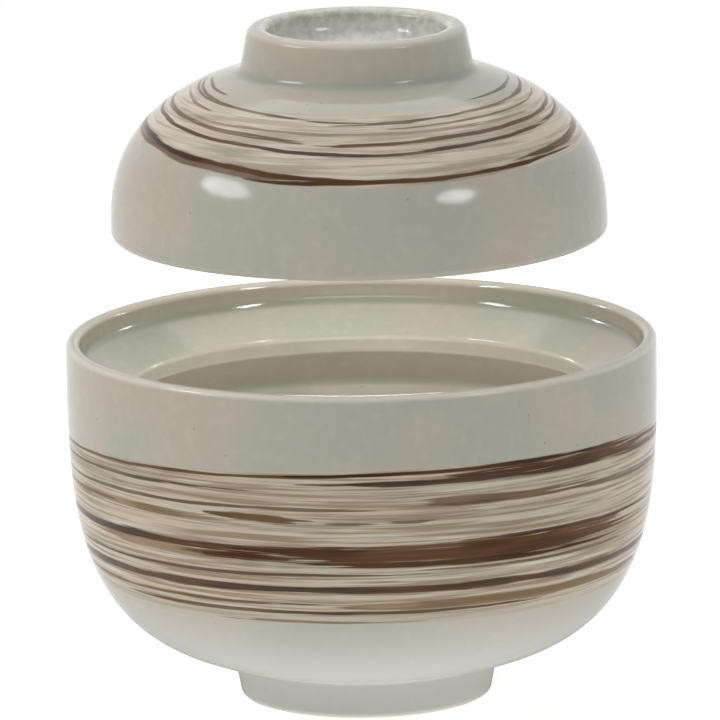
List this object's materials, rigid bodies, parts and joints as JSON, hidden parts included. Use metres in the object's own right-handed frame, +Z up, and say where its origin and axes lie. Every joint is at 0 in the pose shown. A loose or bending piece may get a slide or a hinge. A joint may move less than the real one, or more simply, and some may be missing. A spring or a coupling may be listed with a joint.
{
  "type": "lidded soup bowl",
  "caption": "Deep round soup bowl on a foot ring, with a domed lid that seats on an inside ledge and has a ring grip, in glazed stoneware with brushed brown rings.",
  "frame": {"origin": "centre of the foot ring's underside, on the table", "axes": "+Z up along the axis that both pieces are turned about; X and Y lie level and are alike"},
  "size_m": [0.12, 0.12, 0.138],
  "materials": {
    "bowl_glaze": "glossy grey-green stoneware glaze with a band of brown brushed rings, dull bare clay under the foot ring",
    "lid_glaze": "glossy grey-green stoneware glaze with brown brushed rings round the dome"
  },
  "bodies": {
    "bowl": {"bowl": "bowl_glaze"},
    "lid": {"lid": "lid_glaze"}
  },
  "joints": [
    {"name": "lid_lift", "type": "slide", "parent": "bowl", "child": "lid", "axis": [0, 0, 1], "range_m": [-0.03, 0.06]}
  ]
}
